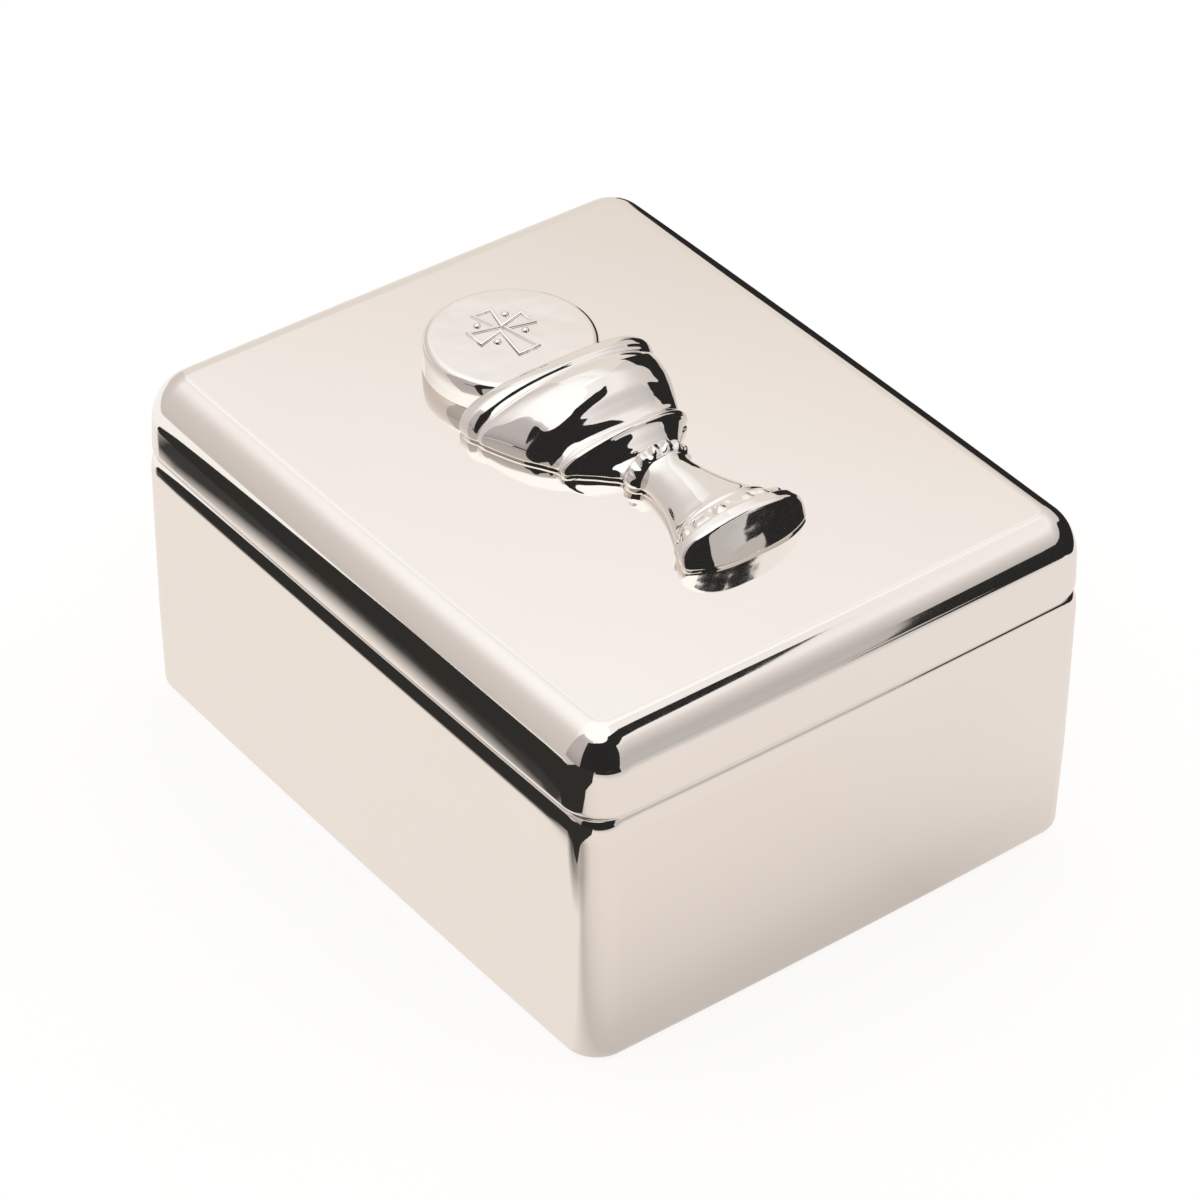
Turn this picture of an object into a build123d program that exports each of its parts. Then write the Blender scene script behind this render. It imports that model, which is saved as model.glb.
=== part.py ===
from build123d import *
import math
import os

# Rosary box: a plated metal box with a hinged lid, a velvet lining and a chalice casting on the lid.
# Millimetres. X runs from left to right, Y from front to back, Z up.
# The origin is the middle of the underside, on the surface that the box stands on.

os.makedirs("parts", exist_ok=True)

# ---- the two shells ----
box_length = 75.4  # front to back, over the lid
box_width = 61.4  # left to right, over the lid
seam_height = 29.5  # top of the base's rim
lid_height = 8.8  # from the rim to the lid's flat top
seam_gap = 0.05
base_wall = 1.2
base_floor = 1.4
base_inset = 0.15  # how far the base stands inside the lid, on each side
base_corner_radius = 3.5
base_foot_round = 0.6
rim_band_height = 2.0  # soft band below the rim, which leans in
rim_band_lean = 0.22
lid_wall = 1.2
lid_corner_radius = 4.6
shoulder_radius = 4.0
lid_edge_round = 0.35

# ---- felt under the base ----
felt_thickness = 0.8
felt_proud = 0.3  # how far the felt stands out below the metal
felt_margin = 2.0  # metal left round the felt
felt_clearance = 0.15

# ---- lining of the base: cards covered in velvet ----
card_thickness = 0.8
velvet_face = 0.7  # cloth and wadding on the inside of a card
velvet_cap = 0.5  # cloth over the top edge of a card
velvet_turn = 0.35  # cloth turned down behind a card
velvet_turn_depth = 5.6
velvet_edge_round = 0.8
lining_gap = 0.3  # glue line between the cloth and the shell
lining_lip = 1.6  # how far the lining stands up into the lid
lining_joint = 0.05  # between one panel and the next
corner_relief = 1.2  # how far the side panels run on into the rounded corners
floor_card_thickness = 1.2
floor_pad_thickness = 3.5

# ---- lining of the lid ----
lid_card_thickness = 1.6
lid_pad_thickness = 2.0
lid_lining_gap = 0.2
lid_pad_margin = 0.6  # card left showing round the pad
clip_room = 0.75  # free space round a clip in the lid's card

# ---- hinge ----
leaf_width = 36.0
leaf_thickness = 0.5
leaf_slot_clearance = 0.1
leaf_to_lining = 0.25
base_leaf_height = 7.0
lid_leaf_height = 4.4
leaf_corner_radius = 1.5
knuckle_diameter = 2.6
knuckle_count = 5  # the base has the first, third and fifth
knuckle_gap = 0.15
knuckle_to_lid = 0.1
pin_diameter = 1.2
pin_press = 0.01
pin_running_clearance = 0.05
pin_head_diameter = 1.9
pin_head_length = 0.3
stop_angle = 100.0  # where the heel on the lid's knuckles meets the base
stop_clearance = 0.05
heel_length = 2.8
heel_thickness = 0.5

# ---- chalice emblem, along Y, with the foot to the front ----
emblem_offset = 0.6  # to the right of the lid's middle
emblem_gap = 0.25  # the casting stands on bosses this high
host_centre = 16.0
host_radius = 8.75
host_height = 3.2
host_edge_round = 0.7
# the rims, the bowl and the foot: half width, height, and place along the chalice, of each half-oval section
rim_sections = [(10.8, 3.3, 10.1), (11.3, 4.5, 9.0), (11.1, 4.9, 7.6)]
bowl_sections = [
    (10.9, 4.6, 8.2),
    (10.7, 5.6, 5.2),
    (10.0, 6.0, 3.2),
    (8.8, 5.0, 0.4),
    (7.6, 2.9, -1.8),
    (5.6, 2.3, -4.0),
    (3.6, 1.4, -6.6),
]
ridge_sections = [(7.3, 2.4, -1.7), (7.6, 3.6, -2.3), (7.2, 3.4, -3.0), (6.3, 2.5, -3.7)]
knot_half_width = 3.75
knot_height = 3.4
knot_back = -6.3
knot_front = -8.3
stem_sections = [(3.0, 2.8, -8.0), (2.85, 2.75, -9.5), (3.75, 2.9, -13.2), (5.6, 3.3, -17.2)]
foot_sections = [(5.8, 3.6, -16.9), (6.5, 3.8, -18.6), (7.3, 4.15, -20.4)]
foot_front = -22.3
foot_end_radius = 15.0  # of the foot's rounded end, on the lid
foot_end_lean = 16.0  # degrees that the end leans back
stud_diameter = 1.6
stud_hole_clearance = 0.05
boss_diameter = 3.2
stud_stand_out = 1.3  # below the lid's ceiling
rear_stud = 14.0
front_stud = -12.0
clip_diameter = 5.0
clip_thickness = 0.4

# ---- raised cross on the host ----
cross_arm = 3.4
cross_foot = 4.8
cross_waist = 0.55  # half the width of an arm at the middle
cross_flare = 1.35  # half the width of an arm at its end
cross_line = 0.35
cross_height = 0.25
cross_shift = 1.6  # middle of the cross, back from the host's middle
pellet_radius = 0.4
pellet_spacing = 3.4

# ---- places that follow from these sizes ----
lid_bottom = seam_height + seam_gap
lid_top = seam_height + lid_height
ceiling = lid_top - lid_wall
base_bottom = felt_proud
base_top_of_floor = base_bottom + base_floor
base_length = box_length - 2 * base_inset
base_width = box_width - 2 * base_inset
inner_length = base_length - 2 * base_wall
inner_width = base_width - 2 * base_wall
panel_thickness = velvet_turn + card_thickness + velvet_face
lining_top = seam_height + lining_lip
back_gap = leaf_thickness + leaf_to_lining
axis_y = box_length / 2 + knuckle_to_lid + knuckle_diameter / 2
axis_z = seam_height
emblem_plane = Plane.XY.offset(lid_top + emblem_gap).move(Location((emblem_offset, 0, 0)))
stud_places = [(emblem_offset, rear_stud), (emblem_offset, front_stud)]


def save(part, name):
    part.label = name
    export_step(part, f"parts/{name}.step")


# ---- base shell ----
with BuildPart() as base_shell:
    with BuildSketch(Plane.XY.offset(base_bottom)):
        RectangleRounded(base_width, base_length, base_corner_radius)
    extrude(amount=seam_height - base_bottom)
    fillet(base_shell.faces().sort_by(Axis.Z)[0].edges(), base_foot_round)
    chamfer(
        base_shell.faces().sort_by(Axis.Z)[-1].edges(),
        rim_band_lean,
        rim_band_height,
        reference=base_shell.faces().sort_by(Axis.Z)[-1],
    )
    # the hollow
    with BuildSketch(Plane.XY.offset(base_top_of_floor)):
        RectangleRounded(inner_width, inner_length, base_corner_radius - base_wall)
    extrude(amount=seam_height - base_top_of_floor, mode=Mode.SUBTRACT)
    # the recess for the felt
    with BuildSketch(Plane.XY.offset(base_bottom)):
        RectangleRounded(base_width - 2 * felt_margin, base_length - 2 * felt_margin, base_corner_radius)
    extrude(amount=felt_thickness - felt_proud, mode=Mode.SUBTRACT)
    # the slot in the rim that the hinge leaf passes through
    with BuildSketch(Plane.XY.offset(seam_height)):
        with Locations((0, base_length / 2)):
            Rectangle(leaf_width + 2 * leaf_slot_clearance, 2 * base_wall)
    extrude(amount=-leaf_thickness, mode=Mode.SUBTRACT)
save(base_shell.part, "base_shell")

# ---- felt pad under the base ----
with BuildPart() as underside_felt:
    with BuildSketch():
        RectangleRounded(
            base_width - 2 * felt_margin - 2 * felt_clearance,
            base_length - 2 * felt_margin - 2 * felt_clearance,
            base_corner_radius - felt_clearance,
        )
    extrude(amount=felt_thickness)
save(underside_felt.part, "underside_felt")

# ---- wall panels: a card on each side, with its velvet cover ----
front_face = inner_length / 2 - lining_gap
back_face = inner_length / 2 - back_gap
side_face = inner_width / 2 - lining_gap
across = 2 * (side_face - panel_thickness - lining_joint)
along = box_length - 2 * lid_corner_radius + 2 * corner_relief
# on each plane, X runs inwards from the back of the cloth and Y runs up
walls = {
    "front": (Plane(origin=(-across / 2, -front_face, 0), x_dir=(0, 1, 0), z_dir=(1, 0, 0)), across),
    "back": (Plane(origin=(across / 2, back_face, 0), x_dir=(0, -1, 0), z_dir=(-1, 0, 0)), across),
    "left": (Plane(origin=(-side_face, along / 2, 0), x_dir=(1, 0, 0), z_dir=(0, -1, 0)), along),
    "right": (Plane(origin=(side_face, -along / 2, 0), x_dir=(-1, 0, 0), z_dir=(0, 1, 0)), along),
}
card_top = lining_top - velvet_cap
for side, (plane, run) in walls.items():
    with BuildPart() as wall_card:
        with BuildSketch(plane):
            with Locations((velvet_turn, base_top_of_floor)):
                Rectangle(card_thickness, card_top - base_top_of_floor, align=Align.MIN)
        extrude(amount=run)
    save(wall_card.part, f"{side}_wall_card")

    with BuildPart() as wall_velvet:
        with BuildSketch(plane):
            with BuildLine():
                Polyline(
                    (0, lining_top - velvet_turn_depth),
                    (0, lining_top),
                    (panel_thickness, lining_top),
                    (panel_thickness, base_top_of_floor),
                    (panel_thickness - velvet_face, base_top_of_floor),
                    (panel_thickness - velvet_face, card_top),
                    (velvet_turn, card_top),
                    (velvet_turn, lining_top - velvet_turn_depth),
                    close=True,
                )
            make_face()
            fillet(vertices().group_by(Axis.Y)[-1], velvet_edge_round)
        extrude(amount=run)
    save(wall_velvet.part, f"{side}_wall_velvet")

# ---- floor of the lining ----
floor_width = 2 * (side_face - panel_thickness - lining_joint)
floor_front = front_face - panel_thickness - lining_joint
floor_back = back_face - panel_thickness - lining_joint
floor_middle = (floor_back - floor_front) / 2
with BuildPart() as floor_card:
    with BuildSketch(Plane.XY.offset(base_top_of_floor)):
        with Locations((0, floor_middle)):
            Rectangle(floor_width, floor_front + floor_back)
    extrude(amount=floor_card_thickness)
save(floor_card.part, "floor_card")

with BuildPart() as floor_pad:
    with BuildSketch(Plane.XY.offset(base_top_of_floor + floor_card_thickness)):
        with Locations((0, floor_middle)):
            Rectangle(floor_width, floor_front + floor_back)
    extrude(amount=floor_pad_thickness)
    fillet(floor_pad.faces().sort_by(Axis.Z)[-1].edges(), velvet_edge_round)
save(floor_pad.part, "floor_pad")

# ---- lid shell ----
with BuildPart() as lid_shell:
    with BuildSketch(Plane.XY.offset(lid_bottom)):
        RectangleRounded(box_width, box_length, lid_corner_radius)
    extrude(amount=lid_top - lid_bottom)
    fillet(lid_shell.faces().sort_by(Axis.Z)[-1].edges(), shoulder_radius)
    offset(amount=-lid_wall, openings=lid_shell.faces().sort_by(Axis.Z)[0])
    fillet(lid_shell.faces().sort_by(Axis.Z)[0].outer_wire().edges(), lid_edge_round)
    # the slot in the edge that the hinge leaf passes through
    with BuildSketch(Plane.XY.offset(lid_bottom)):
        with Locations((0, box_length / 2)):
            Rectangle(leaf_width + 2 * leaf_slot_clearance, 2 * lid_wall)
    extrude(amount=leaf_thickness, mode=Mode.SUBTRACT)
    # the holes for the emblem's studs
    with BuildSketch(Plane.XY.offset(lid_top)):
        with Locations(stud_places):
            Circle(stud_diameter / 2 + stud_hole_clearance)
    extrude(amount=-2 * lid_wall, mode=Mode.SUBTRACT)
save(lid_shell.part, "lid_shell")

# ---- lining of the lid ----
lid_card_width = box_width - 2 * shoulder_radius - 2 * lid_lining_gap
lid_card_length = box_length - 2 * shoulder_radius - 2 * lid_lining_gap
lid_card_corner = lid_corner_radius - lid_wall
with BuildPart() as lid_card:
    with BuildSketch(Plane.XY.offset(ceiling)):
        RectangleRounded(lid_card_width, lid_card_length, lid_card_corner)
        with Locations(stud_places):
            Circle(clip_diameter / 2 + clip_room, mode=Mode.SUBTRACT)
    extrude(amount=-lid_card_thickness)
save(lid_card.part, "lid_card")

with BuildPart() as lid_pad:
    with BuildSketch(Plane.XY.offset(ceiling - lid_card_thickness)):
        RectangleRounded(
            lid_card_width - 2 * lid_pad_margin,
            lid_card_length - 2 * lid_pad_margin,
            lid_card_corner,
        )
    extrude(amount=-lid_pad_thickness)
    fillet(lid_pad.faces().sort_by(Axis.Z)[0].edges(), velvet_edge_round)
save(lid_pad.part, "lid_pad")

# ---- hinge ----
knuckle_length = (leaf_width - (knuckle_count - 1) * knuckle_gap) / knuckle_count
knuckle_starts = [-leaf_width / 2 + i * (knuckle_length + knuckle_gap) for i in range(knuckle_count)]
base_back = base_length / 2
lid_back = box_length / 2

with BuildPart() as hinge_leaf_base:
    # the plate inside the back wall, bent out over the rim
    with BuildSketch(Plane.YZ.offset(-leaf_width / 2)):
        with Locations((base_back - base_wall, seam_height)):
            Rectangle(leaf_thickness, base_leaf_height, align=(Align.MAX, Align.MAX))
            Rectangle(base_wall, leaf_thickness, align=(Align.MIN, Align.MAX))
    extrude(amount=leaf_width)
    fillet(hinge_leaf_base.edges().filter_by(Axis.Y).group_by(Axis.Z)[0], leaf_corner_radius)
    for start in knuckle_starts[0::2]:
        with BuildSketch(Plane.YZ.offset(start)):
            with Locations((base_back, seam_height)):
                Rectangle(axis_y - base_back, leaf_thickness, align=(Align.MIN, Align.MAX))
            with Locations((axis_y, axis_z)):
                Circle(knuckle_diameter / 2)
        extrude(amount=knuckle_length)
    with BuildSketch(Plane.YZ.offset(-leaf_width / 2)):
        with Locations((axis_y, axis_z)):
            Circle(pin_diameter / 2 + pin_press)
    extrude(amount=leaf_width, mode=Mode.SUBTRACT)
save(hinge_leaf_base.part, "hinge_leaf_base")

heel_face = axis_y - base_back - stop_clearance
heel_lean = math.radians(stop_angle - 90)
with BuildPart() as hinge_leaf_lid:
    # the plate inside the lid's back wall, bent out under its edge
    with BuildSketch(Plane.YZ.offset(-leaf_width / 2)):
        with Locations((lid_back - lid_wall, lid_bottom)):
            Rectangle(leaf_thickness, lid_leaf_height, align=(Align.MAX, Align.MIN))
            Rectangle(lid_wall, leaf_thickness, align=(Align.MIN, Align.MIN))
    extrude(amount=leaf_width)
    fillet(hinge_leaf_lid.edges().filter_by(Axis.Y).group_by(Axis.Z)[-1], leaf_corner_radius)
    for start in knuckle_starts[1::2]:
        with BuildSketch(Plane.YZ.offset(start)):
            with Locations((lid_back, lid_bottom)):
                Rectangle(axis_y - lid_back, leaf_thickness, align=(Align.MIN, Align.MIN))
            with Locations((axis_y, axis_z)):
                Circle(knuckle_diameter / 2)
        extrude(amount=knuckle_length)
        # the heel that comes to lie on the back of the base and stops the lid
        heel_plane = Plane(
            origin=(start, axis_y, axis_z),
            x_dir=(0, math.cos(heel_lean), math.sin(heel_lean)),
            z_dir=(1, 0, 0),
        )
        with BuildSketch(heel_plane):
            with Locations((0, -heel_face)):
                Rectangle(heel_length, heel_thickness, align=Align.MIN)
        extrude(amount=knuckle_length)
    with BuildSketch(Plane.YZ.offset(-leaf_width / 2)):
        with Locations((axis_y, axis_z)):
            Circle(pin_diameter / 2 + pin_running_clearance)
    extrude(amount=leaf_width, mode=Mode.SUBTRACT)
save(hinge_leaf_lid.part, "hinge_leaf_lid")

with BuildPart() as hinge_pin:
    with BuildSketch(Plane.YZ.offset(-leaf_width / 2)):
        with Locations((axis_y, axis_z)):
            Circle(pin_diameter / 2)
    extrude(amount=leaf_width)
    # the ends, peened over
    for end, way in ((-leaf_width / 2, -1), (leaf_width / 2, 1)):
        with BuildSketch(Plane.YZ.offset(end)):
            with Locations((axis_y, axis_z)):
                Circle(pin_head_diameter / 2)
        extrude(amount=way * pin_head_length)
save(hinge_pin.part, "hinge_pin")


# ---- chalice emblem ----
def half_oval(half_width, height, place):
    """One section across the chalice, flat side down."""
    section_plane = Plane(
        origin=(emblem_offset, place, lid_top + emblem_gap),
        x_dir=(1, 0, 0),
        z_dir=(0, -1, 0),
    )
    with BuildSketch(section_plane) as section:
        Ellipse(half_width, height)
        Rectangle(4 * half_width, 2 * height, align=(Align.CENTER, Align.MIN), mode=Mode.INTERSECT)
    return section.sketch


def domed(sections):
    """A flat-backed body that runs smoothly through half-oval sections, from the back to the front."""
    with BuildPart() as body:
        loft(sections=[half_oval(*section) for section in sorted(sections, key=lambda s: -s[2])])
    return body.part


rim = domed(rim_sections)
bowl = domed(bowl_sections)
ridge = domed(ridge_sections)
stem = domed(stem_sections)

with BuildPart() as knot:
    extrude(half_oval(knot_half_width, knot_height, knot_back), amount=knot_back - knot_front)

with BuildPart() as foot:
    foot_last = foot_sections[-1]
    add(domed([*foot_sections, (foot_last[0], foot_last[1], foot_front)]))
    # the end of the foot is rounded in plan and leans back
    with BuildSketch(emblem_plane):
        with Locations((0, foot_front + foot_end_radius)):
            Circle(foot_end_radius)
    extrude(amount=2 * foot_last[1], taper=foot_end_lean, mode=Mode.INTERSECT)

with BuildPart() as host:
    with BuildSketch(emblem_plane):
        with Locations((0, host_centre)):
            Circle(host_radius)
    extrude(amount=host_height)
    fillet(host.faces().sort_by(Axis.Z)[-1].edges(), host_edge_round)

with BuildPart() as chalice_emblem:
    add([host.part, bowl, stem, rim, ridge, knot.part, foot.part])
    # the raised cross on the host, drawn as an outline
    cross_plane = emblem_plane.offset(host_height).move(Location((0, host_centre + cross_shift, 0)))
    with BuildSketch(cross_plane):
        with BuildLine():
            Polyline(
                (cross_waist, cross_waist),
                (cross_flare, cross_arm),
                (-cross_flare, cross_arm),
                (-cross_waist, cross_waist),
                (-cross_arm, cross_flare),
                (-cross_arm, -cross_flare),
                (-cross_waist, -cross_waist),
                (-cross_flare, -cross_foot),
                (cross_flare, -cross_foot),
                (cross_waist, -cross_waist),
                (cross_arm, -cross_flare),
                (cross_arm, cross_flare),
                close=True,
            )
        make_face()
        offset(amount=-cross_line, mode=Mode.SUBTRACT)
        with GridLocations(pellet_spacing, pellet_spacing, 2, 2):
            Circle(pellet_radius)
    extrude(amount=cross_height)
    # bosses on the lid, and studs through it
    with BuildSketch(Plane.XY.offset(lid_top)):
        with Locations(stud_places):
            Circle(boss_diameter / 2)
    extrude(amount=emblem_gap)
    with BuildSketch(Plane.XY.offset(lid_top)):
        with Locations(stud_places):
            Circle(stud_diameter / 2)
    extrude(amount=-(lid_wall + stud_stand_out))
save(chalice_emblem.part, "chalice_emblem")

# ---- push-on clips on the studs ----
with BuildPart() as emblem_clips:
    with BuildSketch(Plane.XY.offset(ceiling)):
        with Locations(stud_places):
            Circle(clip_diameter / 2)
            Circle(stud_diameter / 2, mode=Mode.SUBTRACT)
    extrude(amount=-clip_thickness)
save(emblem_clips.part, "emblem_clips")
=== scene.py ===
import math

import bmesh
import bpy
from mathutils import Matrix, Vector
from mathutils import noise as field


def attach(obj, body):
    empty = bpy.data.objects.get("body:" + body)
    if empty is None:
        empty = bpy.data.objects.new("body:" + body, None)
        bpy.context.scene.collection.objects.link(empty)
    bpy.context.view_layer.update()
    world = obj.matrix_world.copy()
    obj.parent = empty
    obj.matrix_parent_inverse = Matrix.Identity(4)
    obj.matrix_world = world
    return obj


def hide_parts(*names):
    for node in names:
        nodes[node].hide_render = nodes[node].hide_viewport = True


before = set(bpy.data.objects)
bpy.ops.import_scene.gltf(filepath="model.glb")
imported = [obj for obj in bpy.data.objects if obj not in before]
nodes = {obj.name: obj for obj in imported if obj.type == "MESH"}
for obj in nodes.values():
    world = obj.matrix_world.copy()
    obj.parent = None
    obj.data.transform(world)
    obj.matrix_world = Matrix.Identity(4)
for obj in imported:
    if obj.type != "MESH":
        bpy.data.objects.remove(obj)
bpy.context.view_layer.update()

MM = 0.001

# ---- sizes of the two shells, in millimetres ----
SEAM = 29.5
SEAM_GAP = 0.05
TOP = 38.3
FELT_PROUD = 0.3
WALL = 1.2
LID_LENGTH = 75.0  # between the flat ends of the sides
LID_WIDTH = 60.8
SIDE_BOW = 0.3  # how far the middle of a side stands out past its ends
BACK_BOW = 0.18  # the same for the back, which the lid's heels lie on
LID_CORNER = 4.6
SHOULDER_ACROSS = 3.67
SHOULDER_HIGH = 4.98
LID_LEAN = 0.31  # how far the lid's sides lean in towards the top
LID_LEAN_CURVE = 1.6  # above 1, the sides start upright and lean more and more
LID_EDGE_ROUND = 0.75
BASE_INSET = 0.15
BASE_CORNER = 3.5
BASE_FOOT_ROUND = 0.6
BASE_DRAFT = 0.18
BAND_HEIGHT = 3.0  # soft band below the base's rim
BAND_LEAN = 0.46
BAND_POWER = 3.2
RIM_ROUND = 0.3
FLOOR_THICKNESS = 1.4
DRAFT_REACH = 12.0  # the base's sides draw in below this height
CEILING_ROUND = 2.4  # where the lid's walls meet its ceiling, inside
ROUND_MARGIN = 0.15  # left flat next to a rounded edge, before the first cut
FELT_MARGIN = 2.0
FELT_RECESS = 0.5
FELT_CLEARANCE = 0.15
FELT_THICKNESS = 0.8
FELT_ROUND = 0.2
LEAF_SLOT = 18.1  # half the slot for the hinge's leaf
LEAF_THICKNESS = 0.5
SLOT_REACH = 3.0  # how far in from the back the slot may reach

# ---- the emblem ----
EMBLEM_X = 0.6
EMBLEM_GAP = 0.25
HOST_X = EMBLEM_X - 0.3
HOST_Y = 16.0
HOST_RADIUS = 8.8
HOST_TOP_RADIUS = 8.7
HOST_HEIGHT = 3.2
HOST_ROUND = 0.65
HOST_LINE = 0.1

# ---- where the meshes are cut, and what counts as level or as the same place ----
X_AXIS = Vector((1, 0, 0))
Y_AXIS = Vector((0, 1, 0))
Z_AXIS = Vector((0, 0, 1))
WIDTH_CUTS = range(-24, 25, 6)
LENGTH_CUTS = range(-30, 31, 6)
LID_SIDE_CUTS = (1.1, 1.7, 2.3, 2.9)
BAND_CUTS = 8
UPRIGHT_SEGMENTS = 14
LID_UPRIGHT_SEGMENTS = 20
SHOULDER_SEGMENTS = 22
CEILING_SEGMENTS = 6
EDGE_SEGMENTS = 5
LEVEL = 1e-4
HAIR = 1e-5
# how far inside an outline a point still counts as on it
NEAR_CORNER = 0.05
NEAR_SIDE = 0.02


# ---------------------------------------------------------------- making pieces
def finish_piece(name, bm, material, body, replaces=()):
    """Turn a bmesh in millimetres into a piece in metres that rides on a body."""
    bmesh.ops.scale(bm, vec=(MM, MM, MM), verts=bm.verts)
    bmesh.ops.recalc_face_normals(bm, faces=bm.faces)
    mesh = bpy.data.meshes.new(name)
    bm.to_mesh(mesh)
    bm.free()
    mesh.shade_smooth()
    piece = bpy.data.objects.new(name, mesh)
    bpy.context.scene.collection.objects.link(piece)
    piece.data.materials.append(material)
    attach(piece, body)
    if replaces:
        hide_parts(*replaces)
    return piece


def shell_block(width, length, height, corner, segments):
    """A block with rounded uprights, standing on z = 0."""
    bm = bmesh.new()
    bmesh.ops.create_cube(bm, size=1)
    bmesh.ops.translate(bm, vec=(0, 0, 0.5), verts=bm.verts)
    bmesh.ops.scale(bm, vec=(width, length, height), verts=bm.verts)
    uprights = [e for e in bm.edges if abs(e.verts[0].co.z - e.verts[1].co.z) > height / 2]
    bmesh.ops.bevel(
        bm, geom=uprights, offset=corner, segments=segments, profile=0.5, affect="EDGES", material=-1
    )
    return bm


def level_edges(bm, z):
    """The edges that lie at one height."""
    return [e for e in bm.edges if all(abs(v.co.z - z) < LEVEL for v in e.verts)]


def level_face(bm, z):
    """The largest level face at one height."""
    found = [f for f in bm.faces if all(abs(v.co.z - z) < LEVEL for v in f.verts)]
    return max(found, key=lambda f: f.calc_area())


def flat_face(bm, corners):
    """One face, with its corners in the order given."""
    verts = [bm.verts.new(corner) for corner in corners]
    edges = [bm.edges.new((verts[i - 1], verts[i])) for i in range(len(verts))]
    return bmesh.ops.contextual_create(bm, geom=edges)["faces"]


def round_edges(bm, edges, radius, segments):
    """Round edges off with an arc."""
    bmesh.ops.bevel(
        bm, geom=edges, offset=radius, segments=segments, profile=0.5, affect="EDGES", material=-1
    )


def cut(bm, places, axis):
    """Cut the whole mesh across at each place along an axis, so that it can bend there."""
    for place in places:
        bmesh.ops.bisect_plane(
            bm,
            geom=bm.verts[:] + bm.edges[:] + bm.faces[:],
            plane_co=axis * place,
            plane_no=axis,
            dist=HAIR,
        )


def bow(bm, width, length):
    """Let the four sides swell a little between their corners."""
    for v in bm.verts:
        x, y = v.co.x, v.co.y
        along = max(0.0, 1 - (2 * y / length) ** 2)
        across = max(0.0, 1 - (2 * x / width) ** 2)
        end = BACK_BOW if y > 0 else SIDE_BOW
        v.co.x = x * (1 + 2 * SIDE_BOW / width * along)
        v.co.y = y * (1 + 2 * end / length * across)


def draw_in(v, amount, width, length):
    """Move a point in towards the middle by the same amount on every side."""
    v.co.x *= 1 - 2 * amount / width
    v.co.y *= 1 - 2 * amount / length


def sink(bm, face, margin, depth):
    """Push a face along Z to make a hollow, and leave a margin of it round the edge."""
    bmesh.ops.inset_region(bm, faces=[face], thickness=margin, use_even_offset=True)
    walls = bmesh.ops.extrude_face_region(bm, geom=[face])
    moved = [g for g in walls["geom"] if isinstance(g, bmesh.types.BMVert)]
    bmesh.ops.translate(bm, vec=(0, 0, depth), verts=moved)
    bmesh.ops.delete(bm, geom=[face], context="FACES")


def notch(bm, rim, level):
    """Cut the slot for the hinge's leaf out of the back wall, from the rim to a level."""
    cut(bm, (-LEAF_SLOT, LEAF_SLOT), X_AXIS)
    cut(bm, (level,), Z_AXIS)
    low, high = min(rim, level), max(rim, level)
    gone = []
    for f in bm.faces:
        c = f.calc_center_median()
        at_the_back = abs(c.x) < LEAF_SLOT and c.y > LID_LENGTH / 2 - SLOT_REACH
        if at_the_back and low < c.z + HAIR and c.z < high + HAIR:
            gone.append(f)
    bmesh.ops.delete(bm, geom=gone, context="FACES")
    open_edges = [e for e in bm.edges if e.is_boundary]
    rows = [e for e in open_edges if all(abs(v.co.z - level) < LEVEL for v in e.verts)]
    bmesh.ops.bridge_loops(bm, edges=rows)
    ends = [e for e in bm.edges if e.is_boundary]
    bmesh.ops.holes_fill(bm, edges=ends)


# ---------------------------------------------------------------- materials
def new_material(name):
    """A material with its node tree and its Principled shader."""
    material = bpy.data.materials.new(name)
    material.use_nodes = True
    tree = material.node_tree
    shader = tree.nodes["Principled BSDF"]
    return material, tree, shader


def add(tree, kind, **values):
    """A node with its sockets and settings filled in."""
    node = tree.nodes.new(kind)
    for key, value in values.items():
        if key in node.inputs:
            node.inputs[key].default_value = value
        else:
            setattr(node, key, value)
    return node


def noise(tree, scale, detail=3.0, rough=0.5, stretch=(1, 1, 1)):
    """Noise that is fixed to the piece."""
    place = add(tree, "ShaderNodeTexCoord")
    mapping = add(tree, "ShaderNodeMapping", Scale=stretch)
    texture = add(tree, "ShaderNodeTexNoise", Scale=scale, Detail=detail, Roughness=rough)
    tree.links.new(place.outputs["Object"], mapping.inputs["Vector"])
    tree.links.new(mapping.outputs["Vector"], texture.inputs["Vector"])
    return texture.outputs["Fac"]


def spread(tree, source, low, high, from_low=0.3, from_high=0.7):
    """A value stretched from one range to another, and held at both ends."""
    node = add(tree, "ShaderNodeMapRange")
    node.inputs["From Min"].default_value = from_low
    node.inputs["From Max"].default_value = from_high
    node.inputs["To Min"].default_value = low
    node.inputs["To Max"].default_value = high
    tree.links.new(source, node.inputs["Value"])
    return node.outputs["Result"]


def blend_colours(tree, source, first, second, from_low=0.3, from_high=0.7):
    """A colour between two, by a value."""
    node = add(tree, "ShaderNodeValToRGB")
    node.color_ramp.elements[0].position = from_low
    node.color_ramp.elements[0].color = (*first, 1)
    node.color_ramp.elements[1].position = from_high
    node.color_ramp.elements[1].color = (*second, 1)
    tree.links.new(source, node.inputs["Fac"])
    return node.outputs["Color"]


def bump(tree, shader, source, distance):
    """Relief finer than the mesh, in metres."""
    node = add(tree, "ShaderNodeBump", Strength=1.0, Distance=distance)
    tree.links.new(source, node.inputs["Height"])
    tree.links.new(node.outputs["Normal"], shader.inputs["Normal"])


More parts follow.
